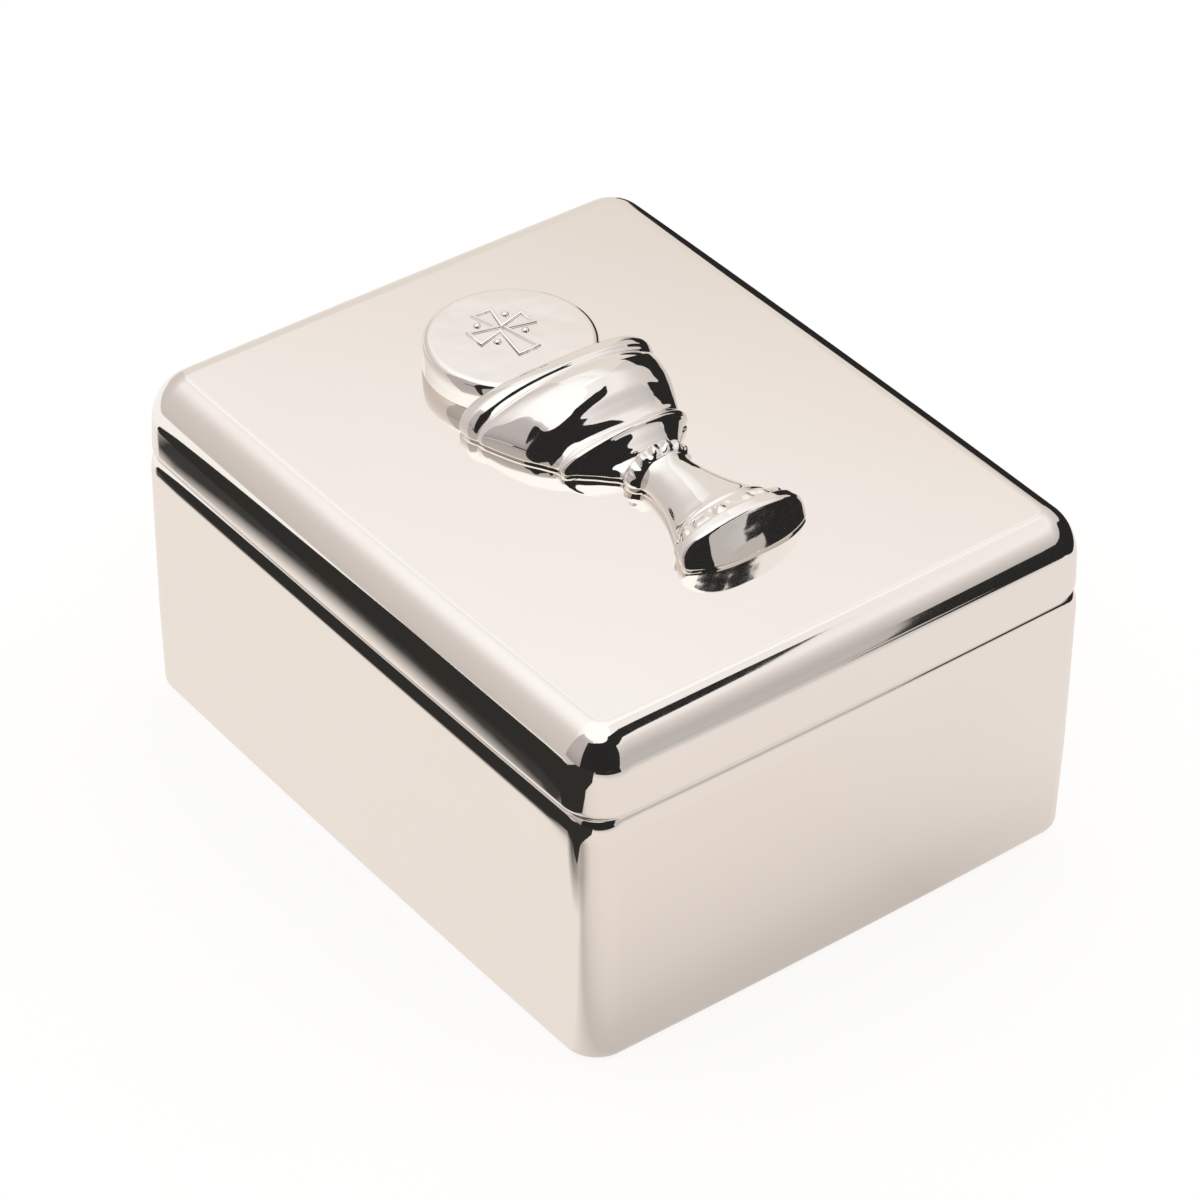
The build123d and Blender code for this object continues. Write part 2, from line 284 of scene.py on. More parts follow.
def plated(name, colour, deep, rough, wave_scale, wave_height, haze_scale=60):
    """Bright plating: a faint warm bloom, a little haze, and the slow waves of a polished surface."""
    material, tree, shader = new_material(name)
    shader.inputs["Metallic"].default_value = 1.0
    bloom = noise(tree, haze_scale, detail=4)
    tree.links.new(blend_colours(tree, bloom, deep, colour), shader.inputs["Base Color"])
    haze = noise(tree, haze_scale * 9, detail=5, rough=0.6)
    tree.links.new(spread(tree, haze, *rough), shader.inputs["Roughness"])
    waves = noise(tree, wave_scale, detail=2, rough=0.4)
    bump(tree, shader, waves, wave_height)
    return material


def brushed_steel():
    """Drawn spring steel, with fine lines along X."""
    material, tree, shader = new_material("spring_steel")
    shader.inputs["Metallic"].default_value = 1.0
    lines = noise(tree, 900, detail=4, rough=0.6, stretch=(0.05, 1, 1))
    colour = blend_colours(tree, lines, (0.50, 0.50, 0.51), (0.68, 0.68, 0.69))
    tree.links.new(colour, shader.inputs["Base Color"])
    tree.links.new(spread(tree, lines, 0.22, 0.38), shader.inputs["Roughness"])
    bump(tree, shader, lines, 0.00001)
    return material


def velvet(name, shadow, light):
    """Short pile with a soft sheen, brushed light and dark in patches."""
    material, tree, shader = new_material(name)
    pile = noise(tree, 2600, detail=3, rough=0.7)
    nap = noise(tree, 55, detail=3)
    mixed = add(tree, "ShaderNodeMath", operation="ADD")
    tree.links.new(spread(tree, pile, 0.0, 0.5), mixed.inputs[0])
    tree.links.new(spread(tree, nap, 0.0, 0.5), mixed.inputs[1])
    colour = blend_colours(tree, mixed.outputs[0], shadow, light, 0.2, 0.9)
    tree.links.new(colour, shader.inputs["Base Color"])
    shader.inputs["Roughness"].default_value = 0.95
    shader.inputs["Sheen Weight"].default_value = 0.9
    shader.inputs["Sheen Roughness"].default_value = 0.35
    shader.inputs["Sheen Tint"].default_value = (0.35, 0.42, 0.75, 1)
    shader.inputs["Specular IOR Level"].default_value = 0.1
    bump(tree, shader, pile, 0.00025)
    return material


def felt():
    """Pressed wool in a dark blue."""
    material, tree, shader = new_material("dark_felt")
    fibres = noise(tree, 1500, detail=6, rough=0.75)
    colour = blend_colours(tree, fibres, (0.02, 0.022, 0.05), (0.06, 0.07, 0.13))
    tree.links.new(colour, shader.inputs["Base Color"])
    shader.inputs["Roughness"].default_value = 1.0
    shader.inputs["Sheen Weight"].default_value = 0.3
    shader.inputs["Specular IOR Level"].default_value = 0.1
    bump(tree, shader, fibres, 0.0003)
    return material


def card_board():
    """Grey board, with its fibres lying along Y."""
    material, tree, shader = new_material("grey_board")
    fibres = noise(tree, 900, detail=6, rough=0.7, stretch=(1, 0.3, 1))
    colour = blend_colours(tree, fibres, (0.42, 0.37, 0.30), (0.58, 0.53, 0.45))
    tree.links.new(colour, shader.inputs["Base Color"])
    shader.inputs["Roughness"].default_value = 0.9
    bump(tree, shader, fibres, 0.00005)
    return material


silver = plated(
    "silver_plate",
    colour=(0.96, 0.93, 0.89),
    deep=(0.95, 0.918, 0.878),
    rough=(0.03, 0.06),
    wave_scale=45,
    wave_height=0.000012,
)
cast_silver = plated(
    "cast_silver",
    colour=(0.965, 0.945, 0.915),
    deep=(0.95, 0.93, 0.90),
    rough=(0.025, 0.05),
    wave_scale=260,
    wave_height=0.00004,
    haze_scale=200,
)
hinge_plate = plated(
    "hinge_plate",
    colour=(0.88, 0.86, 0.82),
    deep=(0.83, 0.80, 0.75),
    rough=(0.08, 0.2),
    wave_scale=300,
    wave_height=0.00001,
    haze_scale=300,
)
steel = brushed_steel()
blue_velvet = velvet("blue_velvet", shadow=(0.010, 0.014, 0.055), light=(0.035, 0.05, 0.17))
blue_felt = felt()
board = card_board()


# ---------------------------------------------------------------- the base and the lid
def on_outline(v, width, length, corner):
    """Whether a point lies on the outline of a rounded rectangle."""
    dx = abs(v.co.x) - (width / 2 - corner)
    dy = abs(v.co.y) - (length / 2 - corner)
    if dx > 0 and dy > 0:
        return math.hypot(dx, dy) > corner - NEAR_CORNER
    return max(dx, dy) > corner - NEAR_SIDE


def outline_edges(bm, z, width, length, corner):
    """The outer edges of a shell at one height."""
    return [e for e in level_edges(bm, z) if all(on_outline(v, width, length, corner) for v in e.verts)]


def base_shell():
    """The deep tray, hollow, with a recess for the felt, a soft band below its rim and swelled sides."""
    width = LID_WIDTH - 2 * BASE_INSET
    length = LID_LENGTH - 2 * BASE_INSET
    bottom = FELT_PROUD
    height = SEAM - bottom
    bm = shell_block(width, length, height, BASE_CORNER, UPRIGHT_SEGMENTS)
    sink(bm, level_face(bm, height), WALL, FLOOR_THICKNESS - height)
    sink(bm, level_face(bm, 0), FELT_MARGIN, FELT_RECESS)
    round_edges(bm, outline_edges(bm, 0, width, length, BASE_CORNER), BASE_FOOT_ROUND, EDGE_SEGMENTS)
    round_edges(bm, outline_edges(bm, height, width, length, BASE_CORNER), RIM_ROUND, EDGE_SEGMENTS)
    band = [height - BAND_HEIGHT + BAND_HEIGHT * i / BAND_CUTS for i in range(BAND_CUTS)]
    cut(bm, band, Z_AXIS)
    cut(bm, [BASE_FOOT_ROUND + 2 * ROUND_MARGIN, height / 3, height * 2 / 3], Z_AXIS)
    cut(bm, LENGTH_CUTS, Y_AXIS)
    cut(bm, WIDTH_CUTS, X_AXIS)
    notch(bm, height, height - LEAF_THICKNESS)
    for v in bm.verts:
        rise = max(0.0, v.co.z - (height - BAND_HEIGHT)) / BAND_HEIGHT
        draft = BASE_DRAFT * max(0.0, 1 - v.co.z / DRAFT_REACH) ** 2
        draw_in(v, BAND_LEAN * rise**BAND_POWER + draft, width, length)
    bow(bm, width, length)
    bmesh.ops.translate(bm, vec=(0, 0, bottom), verts=bm.verts)
    return bm


def lid_shell():
    """The lid: a hollow block with a tall rounded shoulder, leaning sides and a soft lower edge."""
    height = TOP - SEAM - SEAM_GAP
    tall = SHOULDER_HIGH / SHOULDER_ACROSS
    squat = height / tall
    # the shoulder is rounded on a squat block, which then grows taller with it
    bm = shell_block(LID_WIDTH, LID_LENGTH, squat, LID_CORNER, LID_UPRIGHT_SEGMENTS)
    round_edges(bm, level_edges(bm, squat), SHOULDER_ACROSS, SHOULDER_SEGMENTS)
    bmesh.ops.scale(bm, vec=(1, 1, tall), verts=bm.verts)
    bmesh.ops.inset_region(
        bm, faces=[level_face(bm, height)], thickness=ROUND_MARGIN, use_even_offset=True
    )
    sink(bm, level_face(bm, 0), WALL, height - WALL)
    ceiling = [e for e in level_edges(bm, height - WALL) if len(e.link_faces) == 2]
    round_edges(bm, ceiling, CEILING_ROUND, CEILING_SEGMENTS)
    edge = outline_edges(bm, 0, LID_WIDTH, LID_LENGTH, LID_CORNER)
    round_edges(bm, edge, LID_EDGE_ROUND, EDGE_SEGMENTS)
    side = [LID_EDGE_ROUND + ROUND_MARGIN, *LID_SIDE_CUTS, height - SHOULDER_HIGH - ROUND_MARGIN]
    cut(bm, side, Z_AXIS)
    cut(bm, LENGTH_CUTS, Y_AXIS)
    cut(bm, WIDTH_CUTS, X_AXIS)
    notch(bm, 0, LEAF_THICKNESS)
    for v in bm.verts:
        lean = LID_LEAN * (max(0.0, v.co.z) / height) ** LID_LEAN_CURVE
        draw_in(v, lean, LID_WIDTH, LID_LENGTH)
    bow(bm, LID_WIDTH, LID_LENGTH)
    bmesh.ops.translate(bm, vec=(0, 0, SEAM + SEAM_GAP), verts=bm.verts)
    return bm


finish_piece("base_tray", base_shell(), silver, "base", ["base_shell"])
finish_piece("lid_tray", lid_shell(), silver, "lid", ["lid_shell"])

# ---------------------------------------------------------------- the emblem
# each row is a place along the chalice: y, half width, height, squareness of its section, and how far
# its middle sags towards the foot
CHALICE = [
    (10.15, 10.4, 2.4, 3.0, 0.0),
    (10.05, 10.8, 3.2, 2.9, 0.1),
    (9.7, 11.15, 3.9, 2.7, 0.3),
    (9.2, 11.3, 4.4, 2.5, 0.5),
    (8.4, 11.3, 4.8, 2.4, 0.6),
    (7.75, 11.15, 4.9, 2.2, 0.7),
    (7.4, 11.0, 4.65, 2.1, 0.75),
    (7.15, 10.9, 4.65, 2.0, 0.8),
    (6.7, 10.9, 5.1, 1.9, 0.8),
    (5.6, 10.6, 5.8, 1.9, 0.9),
    (4.4, 10.2, 6.02, 1.9, 0.9),
    (3.2, 9.75, 5.95, 1.9, 0.9),
    (2.2, 9.3, 5.6, 1.9, 0.9),
    (1.3, 8.8, 5.0, 2.0, 0.9),
    (0.5, 8.3, 4.05, 2.2, 0.9),
    (-0.3, 7.85, 3.15, 2.3, 0.9),
    (-1.0, 7.5, 2.7, 2.2, 1.0),
    (-1.4, 7.45, 2.95, 2.0, 1.0),
    (-1.9, 7.6, 3.5, 1.8, 1.1),
    (-2.4, 7.4, 3.55, 1.8, 1.1),
    (-2.8, 6.7, 3.2, 1.8, 1.0),
    (-3.4, 6.0, 2.7, 1.9, 0.9),
    (-4.2, 5.1, 2.05, 2.0, 0.7),
    (-5.0, 4.35, 1.5, 2.0, 0.5),
    (-5.8, 3.6, 1.35, 2.0, 0.3),
    (-6.15, 3.45, 1.7, 2.0, 0.1),
    (-6.4, 3.6, 2.9, 2.0, 0.0),
    (-6.9, 3.75, 3.35, 2.0, 0.0),
    (-7.6, 3.65, 3.4, 2.0, 0.0),
    (-8.1, 3.35, 3.15, 2.0, 0.0),
    (-8.4, 3.0, 2.8, 2.1, 0.0),
    (-9.3, 2.85, 2.75, 2.1, 0.0),
    (-11.0, 3.1, 2.8, 2.1, 0.0),
    (-13.2, 3.75, 2.9, 2.1, 0.0),
    (-15.3, 4.7, 3.05, 2.1, 0.1),
    (-16.8, 5.5, 3.25, 2.0, 0.1),
    (-17.05, 5.7, 3.55, 2.0, 0.2),
    (-17.3, 5.85, 3.65, 2.0, 0.3),
    (-17.55, 5.95, 3.6, 2.0, 0.4),
    (-17.9, 6.15, 3.65, 2.1, 0.6),
    (-19.2, 6.9, 3.85, 2.2, 1.2),
    (-19.45, 7.0, 3.9, 2.2, 1.3),
    (-19.7, 7.2, 4.1, 2.3, 1.4),
    (-20.45, 7.35, 4.1, 2.3, 1.75),
]
KNOT_BACK = -6.3
KNOT_FRONT = -8.35
KNOT_LOBES = 15  # round a full circle
KNOT_TWIST = 1.2  # how far they turn over a millimetre of the knot, in radians
FOOT_BAND_BACK = -16.9
BEADS_BACK = -17.8
BEADS_FRONT = -19.3
BEAD_WAVES = ((0.6, 17, 0.6), (0.4, 27, 1))  # each one's share, its beads in a full circle, its phase
BEAD_LIFT = 0.3
RELIEF_DEPTH = 0.06  # of the knot's lobes and the foot's beads, as a share of the height
RELIEF_SPREAD = 0.6  # how much of it the width takes too
FOOT_LEAN = 0.33  # the foot's end leans back by this much for each millimetre of height
FOOT_ROUND = 0.4
FOOT_ROUND_ROWS = 8
EDGE_HEIGHT = 0.3
EDGE_ROUND = 0.08
EDGE_SHARE = 0.04  # how much of the grid's width goes into either upright edge
GRID_ACROSS = 112
BACK_ROWS = 6
SIDE_ROWS = 300
END_ROWS = 44


def between(rows, y):
    """The row at a place along the chalice, on a smooth line through the rows."""
    for i in range(len(rows) - 1):
        if rows[i][0] >= y >= rows[i + 1][0]:
            break
    a, b = rows[i], rows[i + 1]
    before = rows[max(i - 1, 0)]
    after = rows[min(i + 2, len(rows) - 1)]
    run = a[0] - b[0]
    t = (a[0] - y) / run

    def slope(p, q, k):
        return (q[k] - p[k]) / (p[0] - q[0])

    out = []
    for k in range(1, len(a)):
        middle = slope(a, b, k)
        start = slope(before, a, k) if before is not a else middle
        end = slope(b, after, k) if after is not b else middle
        # the slope at a row is level where the line turns there, so that it never overshoots
        first = 0.0 if start * middle <= 0 else 2 * start * middle / (start + middle)
        last = 0.0 if end * middle <= 0 else 2 * end * middle / (end + middle)
        # the four weights of a smooth curve between two rows
        h00 = 2 * t**3 - 3 * t**2 + 1
        h10 = t**3 - 2 * t**2 + t
        h01 = 3 * t**2 - 2 * t**3
        h11 = t**3 - t**2
        out.append(h00 * a[k] + h10 * run * first + h01 * b[k] + h11 * run * last)
    return out


def ease(t):
    """From 0 to 1, with a soft start and end."""
    t = min(max(t, 0), 1)
    return t * t * (3 - 2 * t)


def section(u, half, high, square, place):
    """A point of one section: an upright edge at either side, and an oval over the top."""
    if abs(u) > 1 - EDGE_SHARE:
        up = (1 - abs(u)) / EDGE_SHARE
        return math.copysign(half - EDGE_ROUND * (1 - up) ** 2, u), EDGE_HEIGHT * up
    angle = math.pi * (1 - u / (1 - EDGE_SHARE)) / 2
    c, s = math.cos(angle), max(0.0, math.sin(angle))
    lift = 1.0
    # the knot's lobes
    if KNOT_FRONT < place < KNOT_BACK:
        swell = math.sin(math.pi * (place - KNOT_BACK) / (KNOT_FRONT - KNOT_BACK))
        lobes = math.cos(KNOT_LOBES * angle + KNOT_TWIST * (place - KNOT_BACK))
        lift = 1 + RELIEF_DEPTH * swell * lobes
    # a worn row of beads round the foot, not quite even
    if BEADS_FRONT < place < BEADS_BACK:
        swell = math.sin(math.pi * (place - BEADS_BACK) / (BEADS_FRONT - BEADS_BACK))
        beads = sum(share * math.cos(count * angle + phase) for share, count, phase in BEAD_WAVES)
        beads += BEAD_LIFT
        lift = 1 + RELIEF_DEPTH * swell * beads
    x = half * math.copysign(abs(c) ** (2 / square), c) * (1 + (lift - 1) * RELIEF_SPREAD)
    return x, EDGE_HEIGHT + (high - EDGE_HEIGHT) * s ** (2 / square) * lift


def chalice():
    """A flat grid laid over the casting: its back end, then the sections, then the foot's end."""
    along = BACK_ROWS + SIDE_ROWS + END_ROWS
    bm = bmesh.new()
    bmesh.ops.create_grid(bm, x_segments=GRID_ACROSS, y_segments=along, size=1)
    back, front = CHALICE[0][0], CHALICE[-1][0]
    for v in bm.verts:
        row = (1 - v.co.y) / 2 * along
        place = min(max(row - BACK_ROWS, 0) / SIDE_ROWS, 1) * (front - back) + back
        half, high, square, sag = between(CHALICE, place)
        x, z = section(v.co.x, half, high, square, place)
        foot = ease((place - FOOT_BAND_BACK) / (front - FOOT_BAND_BACK))
        past = row - BACK_ROWS - SIDE_ROWS
        size, step = 1.0, 0.0
        if row < BACK_ROWS:
            size = row / BACK_ROWS
        elif past > 0:
            turn = past / FOOT_ROUND_ROWS
            quarter = min(turn, 1) * math.pi / 2
            size = 1 - FOOT_ROUND / half * (1 - math.cos(quarter))
            step = FOOT_ROUND * math.sin(quarter)
            if turn > 1:
                size *= 1 - (past - FOOT_ROUND_ROWS) / (END_ROWS - FOOT_ROUND_ROWS)
        x, z = x * size, z * size
        sagged = sag * (1 - abs(x / half) ** (2 + foot))
        v.co = (x, place - step - sagged + FOOT_LEAN * foot * z, z)
    bmesh.ops.remove_doubles(bm, verts=bm.verts, dist=HAIR)
    bmesh.ops.edgeloop_fill(bm, edges=[e for e in bm.edges if len(e.link_faces) < 2])
    bmesh.ops.translate(bm, vec=(EMBLEM_X, 0, TOP + EMBLEM_GAP), verts=bm.verts)
    return bm


def host_disc():
    """The host: a thick wafer with a rounded edge."""
    bm = bmesh.new()
    bmesh.ops.create_cone(
        bm,
        cap_ends=True,
        segments=128,
        radius1=HOST_RADIUS,
        radius2=HOST_TOP_RADIUS,
        depth=HOST_HEIGHT,
    )
    top = [e for e in bm.edges if all(v.co.z > 0 for v in e.verts)]
    round_edges(bm, top, HOST_ROUND, 8)
    face = max((f for f in bm.faces if f.normal.z > 0.99), key=lambda f: f.calc_area())
    bmesh.ops.inset_region(bm, faces=[face], thickness=HOST_LINE)
    middle = TOP + EMBLEM_GAP + HOST_HEIGHT / 2
    bmesh.ops.translate(bm, vec=(HOST_X, HOST_Y, middle), verts=bm.verts)
    return bm


CROSS_ARM = 3.4
CROSS_FOOT = 4.8
CROSS_WAIST = 0.55
CROSS_FLARE = 1.35
CROSS_LINE = 0.38
CROSS_HIGH = 0.25
CROSS_ROUND = 0.12
CROSS_SHIFT = 1.6
CROSS_BITE = 0.01  # how far it stands in the host
PELLET_SPACING = 3.4
PELLET_RADIUS = 0.42
PELLET_SQUASH = 0.75
REAR_STUD = 14.0
FRONT_STUD = -12.0
BOSS_DIAMETER = 3.2
BOSS_BITE = 0.05
STUD_DIAMETER = 1.6
STUD_REACH = 2.5
STUD_ROUND = 0.1


def host_cross():
    """A cross with flared ends, drawn as a raised line, and four pellets between its arms."""
    bm = bmesh.new()
    quarter = [(CROSS_WAIST, CROSS_WAIST), (CROSS_FLARE, CROSS_ARM), (-CROSS_FLARE, CROSS_ARM)]
    outline = []
    for turn in range(4):
        reach = CROSS_FOOT / CROSS_ARM if turn == 2 else 1
        for x, y in quarter:
            y = y * reach if y > CROSS_WAIST else y
            for _ in range(turn):
                x, y = -y, x
            outline.append((x, y, 0))
    face = flat_face(bm, outline)
    bmesh.ops.inset_region(
        bm, faces=face, thickness=CROSS_LINE, use_even_offset=True, use_boundary=True
    )
    bmesh.ops.delete(bm, geom=face, context="FACES")
    raised = bmesh.ops.extrude_face_region(bm, geom=bm.faces[:])["geom"]
    lifted = [v for v in raised if isinstance(v, bmesh.types.BMVert)]
    bmesh.ops.translate(bm, vec=(0, 0, CROSS_HIGH), verts=lifted)
    bmesh.ops.recalc_face_normals(bm, faces=bm.faces)
    crest = [e for e in level_edges(bm, CROSS_HIGH) if any(abs(f.normal.z) < 0.5 for f in e.link_faces)]
    round_edges(bm, crest, CROSS_ROUND, 3)
    squash = Matrix.Diagonal((1, 1, PELLET_SQUASH, 1))
    for x in (-1, 1):
        for y in (-1, 1):
            place = Matrix.Translation((x * PELLET_SPACING / 2, y * PELLET_SPACING / 2, 0))
            bmesh.ops.create_icosphere(
                bm, subdivisions=3, radius=PELLET_RADIUS, matrix=place @ squash
            )
    face_height = TOP + EMBLEM_GAP + HOST_HEIGHT - CROSS_BITE
    bmesh.ops.translate(bm, vec=(HOST_X, HOST_Y + CROSS_SHIFT, face_height), verts=bm.verts)
    return bm


def emblem_studs():
    """The two bosses that the casting stands on, and the studs through the lid's top."""
    bm = bmesh.new()
    boss = (BOSS_DIAMETER, TOP, TOP + EMBLEM_GAP + BOSS_BITE)
    stud = (STUD_DIAMETER, TOP - STUD_REACH, TOP)
    for y in (REAR_STUD, FRONT_STUD):
        for diameter, low, high in (boss, stud):
            new = bmesh.ops.create_cone(
                bm,
                cap_ends=True,
                segments=40,
                radius1=diameter / 2,
                radius2=diameter / 2,
                depth=high - low,
                matrix=Matrix.Translation((EMBLEM_X, y, (low + high) / 2)),
            )["verts"]
            bottom = [e for v in new for e in v.link_edges if all(w.co.z < low + LEVEL for w in e.verts)]
            round_edges(bm, list(dict.fromkeys(bottom)), STUD_ROUND, 2)
    return bm


finish_piece("chalice_relief", chalice(), cast_silver, "lid", ["chalice_emblem"])
finish_piece("host_relief", host_disc(), cast_silver, "lid")
finish_piece("host_cross", host_cross(), cast_silver, "lid")
finish_piece("emblem_studs", emblem_studs(), cast_silver, "lid")

# ---------------------------------------------------------------- the lining
PAD_CELL = 1.3
PAD_EDGE_SHARE = 0.62  # how much of a pad's thickness is left at its edge
PAD_PULL = 0.35  # how far the sides draw in between the corners
PAD_ROUND = 0.75
PUCKER_SPACING = 3.1
PUCKER_DEPTH = 0.07
PUCKER_REACH = 5.0
UNEVEN_SIZE = 9.0
UNEVEN_DEPTH = 0.16
UNEVEN_ROW = 0.3
FLOOR_PAD = ((-27.1, -34.1, 2.9), (27.1, 33.65, 6.4))  # two opposite corners
FLOOR_PAD_CORNER = 0.8
LID_PAD = ((-25.9, -32.9, 33.5), (25.9, 32.9, 35.5))
LID_PAD_CORNER = 3.4

COVER_CARD = (0.35, 1.15)  # the card's back and front, in from the shell
COVER_FACE = 1.85
COVER_BOTTOM = 1.7
COVER_TOP = 31.1
COVER_CAP = 0.5
COVER_TURN = 5.6
COVER_ROUND = 0.8
COVER_END = 0.6
COVER_BEND = [math.radians(a) for a in range(0, 91, 18)]
COVER_END_CUTS = (0.1, 0.3, 0.6, 1.0)  # shares of COVER_END
COVER_END_FALL = 0.3
COVER_EDGE_FALL = 0.25
COVER_UNEVEN = 0.16
COVER_LEAST = 0.06  # of its thickness, left at the very end
END_COVER = 54.3  # the length of the covers of the front and the back
SIDE_COVER = 68.6
SIDE_WALL = 29.05  # where the side walls' covers meet the shell
FRONT_WALL_PLACE = -36.05
REAR_WALL_PLACE = 35.6


def steps(low, high, cell):
    """Evenly spaced places between two ends, without the ends."""
    count = max(2, round((high - low) / cell))
    return [low + (high - low) * i / count for i in range(1, count)]


def uneven(x, y):
    """The slow unevenness of wadding under cloth, from 0 to 1, the same on every run."""
    return 0.5 + 0.5 * field.noise(Vector((x / UNEVEN_SIZE, y / UNEVEN_SIZE, UNEVEN_ROW)))


def pad(low, high, corner, downwards=False):
    """A crowned pad between two corners, flat on its card, with its soft side up or down."""
    low, high = Vector(low), Vector(high)
    width, length, thick = high - low
    bm = shell_block(width, length, thick, corner, 6)
    round_edges(bm, level_edges(bm, thick), PAD_ROUND, EDGE_SEGMENTS)
    cut(bm, steps(-width / 2, width / 2, PAD_CELL), X_AXIS)
    cut(bm, steps(-length / 2, length / 2, PAD_CELL), Y_AXIS)
    for v in bm.verts:
        across, along, up = 2 * v.co.x / width, 2 * v.co.y / length, v.co.z / thick
        crown = math.sqrt(max(0.0, 1 - abs(across) ** 3)) * math.sqrt(max(0.0, 1 - abs(along) ** 3))
        to_side = width / 2 - abs(v.co.x)
        to_end = length / 2 - abs(v.co.y)
        run = v.co.y if to_side < to_end else v.co.x
        wave = math.sin(2 * math.pi * run / PUCKER_SPACING + 3 * uneven(run, 0))
        gather = PUCKER_DEPTH * (0.5 + 0.5 * wave)
        gather *= max(0.0, 1 - min(to_side, to_end) / PUCKER_REACH)
        soft = UNEVEN_DEPTH * uneven(v.co.x, v.co.y) * crown
        height = thick * (PAD_EDGE_SHARE + (1 - PAD_EDGE_SHARE) * crown)
        v.co.z = up * (height - soft - gather)
        v.co.x -= math.copysign(PAD_PULL * (1 - along**2) * abs(across) ** 4, v.co.x)
        v.co.y -= math.copysign(PAD_PULL * (1 - across**2) * abs(along) ** 4, v.co.y)
    if downwards:
        bmesh.ops.scale(bm, vec=(1, 1, -1), verts=bm.verts)
    foot = high.z if downwards else low.z
    middle = ((low.x + high.x) / 2, (low.y + high.y) / 2, foot)
    bmesh.ops.translate(bm, vec=middle, verts=bm.verts)
    return bm


def cover_profile():
    """The cover seen from its end: up the front, over the top, and down behind to its turned edge."""
    back, front = COVER_CARD
    shoulder = COVER_TOP - COVER_ROUND
    near = COVER_FACE - COVER_ROUND
    profile = [(front, COVER_BOTTOM), (COVER_FACE, COVER_BOTTOM)]
    for a in COVER_BEND:
        profile.append((near + COVER_ROUND * math.cos(a), shoulder + COVER_ROUND * math.sin(a)))
    for a in COVER_BEND:
        profile.append((COVER_ROUND - COVER_ROUND * math.sin(a), shoulder + COVER_ROUND * math.cos(a)))
    profile += [(0, COVER_TOP - COVER_TURN), (back, COVER_TOP - COVER_TURN)]
    profile += [(back, COVER_TOP - COVER_CAP), (front, COVER_TOP - COVER_CAP)]
    return profile


def wall_cover(length):
    """Velvet over a wall's card: padded in front, drawn over the top and turned down behind."""
    front = COVER_CARD[1]
    shoulder = COVER_TOP - COVER_ROUND
    bm = bmesh.new()
    end = flat_face(bm, [(-length / 2, a, z) for a, z in cover_profile()])
    run = bmesh.ops.extrude_face_region(bm, geom=end)["geom"]
    moved = [v for v in run if isinstance(v, bmesh.types.BMVert)]
    bmesh.ops.translate(bm, vec=(length, 0, 0), verts=moved)
    cut(bm, steps(-length / 2, length / 2, PAD_CELL), X_AXIS)
    for share in COVER_END_CUTS:
        cut(bm, [side * (length / 2 - COVER_END * share) for side in (-1, 1)], X_AXIS)
    cut(bm, steps(COVER_BOTTOM, shoulder, PAD_CELL), Z_AXIS)
    for v in bm.verts:
        if v.co.y < front + 0.01:
            continue
        past = max(0.0, 1 - (length / 2 - abs(v.co.x)) / COVER_END)
        rise = (v.co.z - COVER_BOTTOM) / (shoulder - COVER_BOTTOM)
        # fullest in the middle, flatter towards the ends, the top and the bottom
        crown = math.sqrt(max(0.0, 1 - past**2)) * (1 - COVER_END_FALL * (2 * v.co.x / length) ** 6)
        fall = COVER_EDGE_FALL * abs(2 * min(rise, 1) - 1) ** 3
        crown *= 1 - fall - COVER_UNEVEN * uneven(v.co.x, v.co.z)
        v.co.y = front + (v.co.y - front) * max(crown, COVER_LEAST)
    return bm


def felt_sheet():
    """The felt, cut to its recess."""
    lost = 2 * (BASE_INSET + FELT_MARGIN + FELT_CLEARANCE)
    corner = BASE_CORNER - FELT_CLEARANCE
    bm = shell_block(LID_WIDTH - lost, LID_LENGTH - lost, FELT_THICKNESS, corner, 8)
    round_edges(bm, level_edges(bm, FELT_THICKNESS) + level_edges(bm, 0), FELT_ROUND, 3)
    return bm


# each wall's cover: its length, its place and its turn about Z
for side, length, place, turn in (
    ("front", END_COVER, (0, FRONT_WALL_PLACE, 0), 0),
    ("back", END_COVER, (0, REAR_WALL_PLACE, 0), math.pi),
    ("left", SIDE_COVER, (-SIDE_WALL, 0, 0), -math.pi / 2),
    ("right", SIDE_COVER, (SIDE_WALL, 0, 0), math.pi / 2),
):
    cover = wall_cover(length)
    stand = Matrix.Translation(place) @ Matrix.Rotation(turn, 4, "Z")
    bmesh.ops.transform(cover, matrix=stand, verts=cover.verts)
    hidden = [f"{side}_wall_velvet"]
    piece = finish_piece(f"{side}_wall_cover", cover, blue_velvet, "base", hidden)

floor_pad = pad(*FLOOR_PAD, FLOOR_PAD_CORNER)
floor_cushion = finish_piece("floor_cushion", floor_pad, blue_velvet, "base", ["floor_pad"])
lid_pad = pad(*LID_PAD, LID_PAD_CORNER, downwards=True)
lid_cushion = finish_piece("lid_cushion", lid_pad, blue_velvet, "lid", ["lid_pad"])
felt_foot = finish_piece("felt_foot", felt_sheet(), blue_felt, "base", ["underside_felt"])

# ---------------------------------------------------------------- the carried-over nodes
for name, material in {
    "hinge_leaf_base": hinge_plate,
    "hinge_leaf_lid": hinge_plate,
    "hinge_pin": steel,
    "emblem_clips": steel,
    "floor_card": board,
    "lid_card": board,
    "front_wall_card": board,
    "back_wall_card": board,
    "left_wall_card": board,
    "right_wall_card": board,
}.items():
    nodes[name].data.materials.clear()
    nodes[name].data.materials.append(material)

